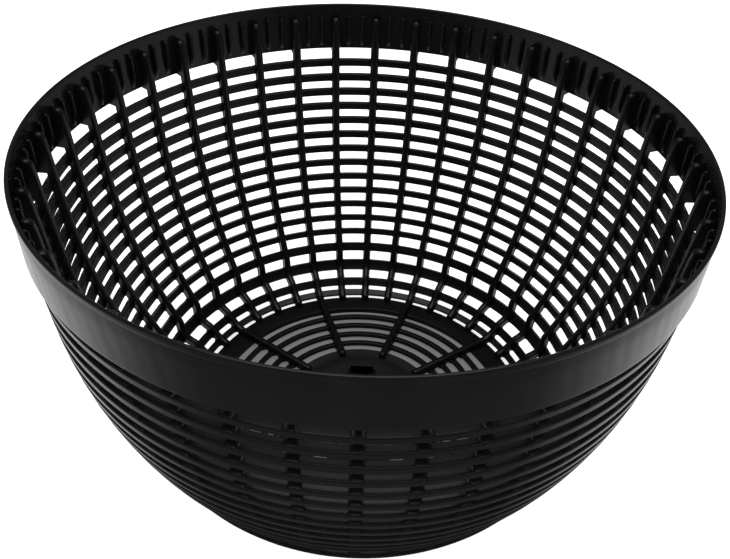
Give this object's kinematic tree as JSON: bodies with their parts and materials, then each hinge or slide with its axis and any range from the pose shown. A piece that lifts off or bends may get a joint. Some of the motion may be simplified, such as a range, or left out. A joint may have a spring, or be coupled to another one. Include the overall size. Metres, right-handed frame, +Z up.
{
  "type": "salad spinner basket",
  "caption": "Round black open-lattice salad spinner basket: plain rim band, outer hoops, inner ribs, slotted floor, domed hub with drive dog above and pivot bore below.",
  "frame": {"origin": "centre of the floor's underside, on the surface the basket stands on", "axes": "+Z up along the axis the basket spins on, +Y towards the first spoke"},
  "size_m": [0.25, 0.25, 0.1412],
  "materials": {
    "band_black": "glossy moulded plastic with faint sink marks",
    "lattice_black": "satin moulded plastic",
    "hub_black": "glossy moulded plastic"
  },
  "bodies": {
    "root": {"rim_band": "band_black", "lid_seat_fins": "lattice_black", "wall_hoop_1": "lattice_black", "wall_hoop_2": "lattice_black", "wall_hoop_3": "lattice_black", "wall_hoop_4": "lattice_black", "wall_hoop_5": "lattice_black", "wall_hoop_6": "lattice_black", "wall_hoop_7": "lattice_black", "wall_hoop_8": "lattice_black", "wall_hoop_9": "lattice_black", "wall_hoop_10": "lattice_black", "wall_hoop_11": "lattice_black", "wall_hoop_12": "lattice_black", "wall_hoop_13": "lattice_black", "wall_hoop_14": "lattice_black", "wall_hoop_15": "lattice_black", "wall_hoop_16": "lattice_black", "wall_hoop_17": "lattice_black", "wall_ribs_1": "lattice_black", "wall_ribs_2": "lattice_black", "wall_ribs_3": "lattice_black", "wall_ribs_4": "lattice_black", "wall_ribs_5": "lattice_black", "wall_ribs_6": "lattice_black", "wall_ribs_7": "lattice_black", "wall_ribs_8": "lattice_black", "wall_ribs_9": "lattice_black", "wall_ribs_10": "lattice_black", "spoke_1": "lattice_black", "spoke_2": "lattice_black", "spoke_3": "lattice_black", "spoke_4": "lattice_black", "spoke_5": "lattice_black", "spoke_6": "lattice_black", "spoke_7": "lattice_black", "spoke_8": "lattice_black", "spoke_9": "lattice_black", "spoke_10": "lattice_black", "floor_rim": "lattice_black", "floor_ring_1": "lattice_black", "floor_ring_2": "lattice_black", "floor_ring_3": "lattice_black", "floor_ring_4": "lattice_black", "hub_dome": "hub_black", "drive_dog": "hub_black"}
  },
  "joints": []
}
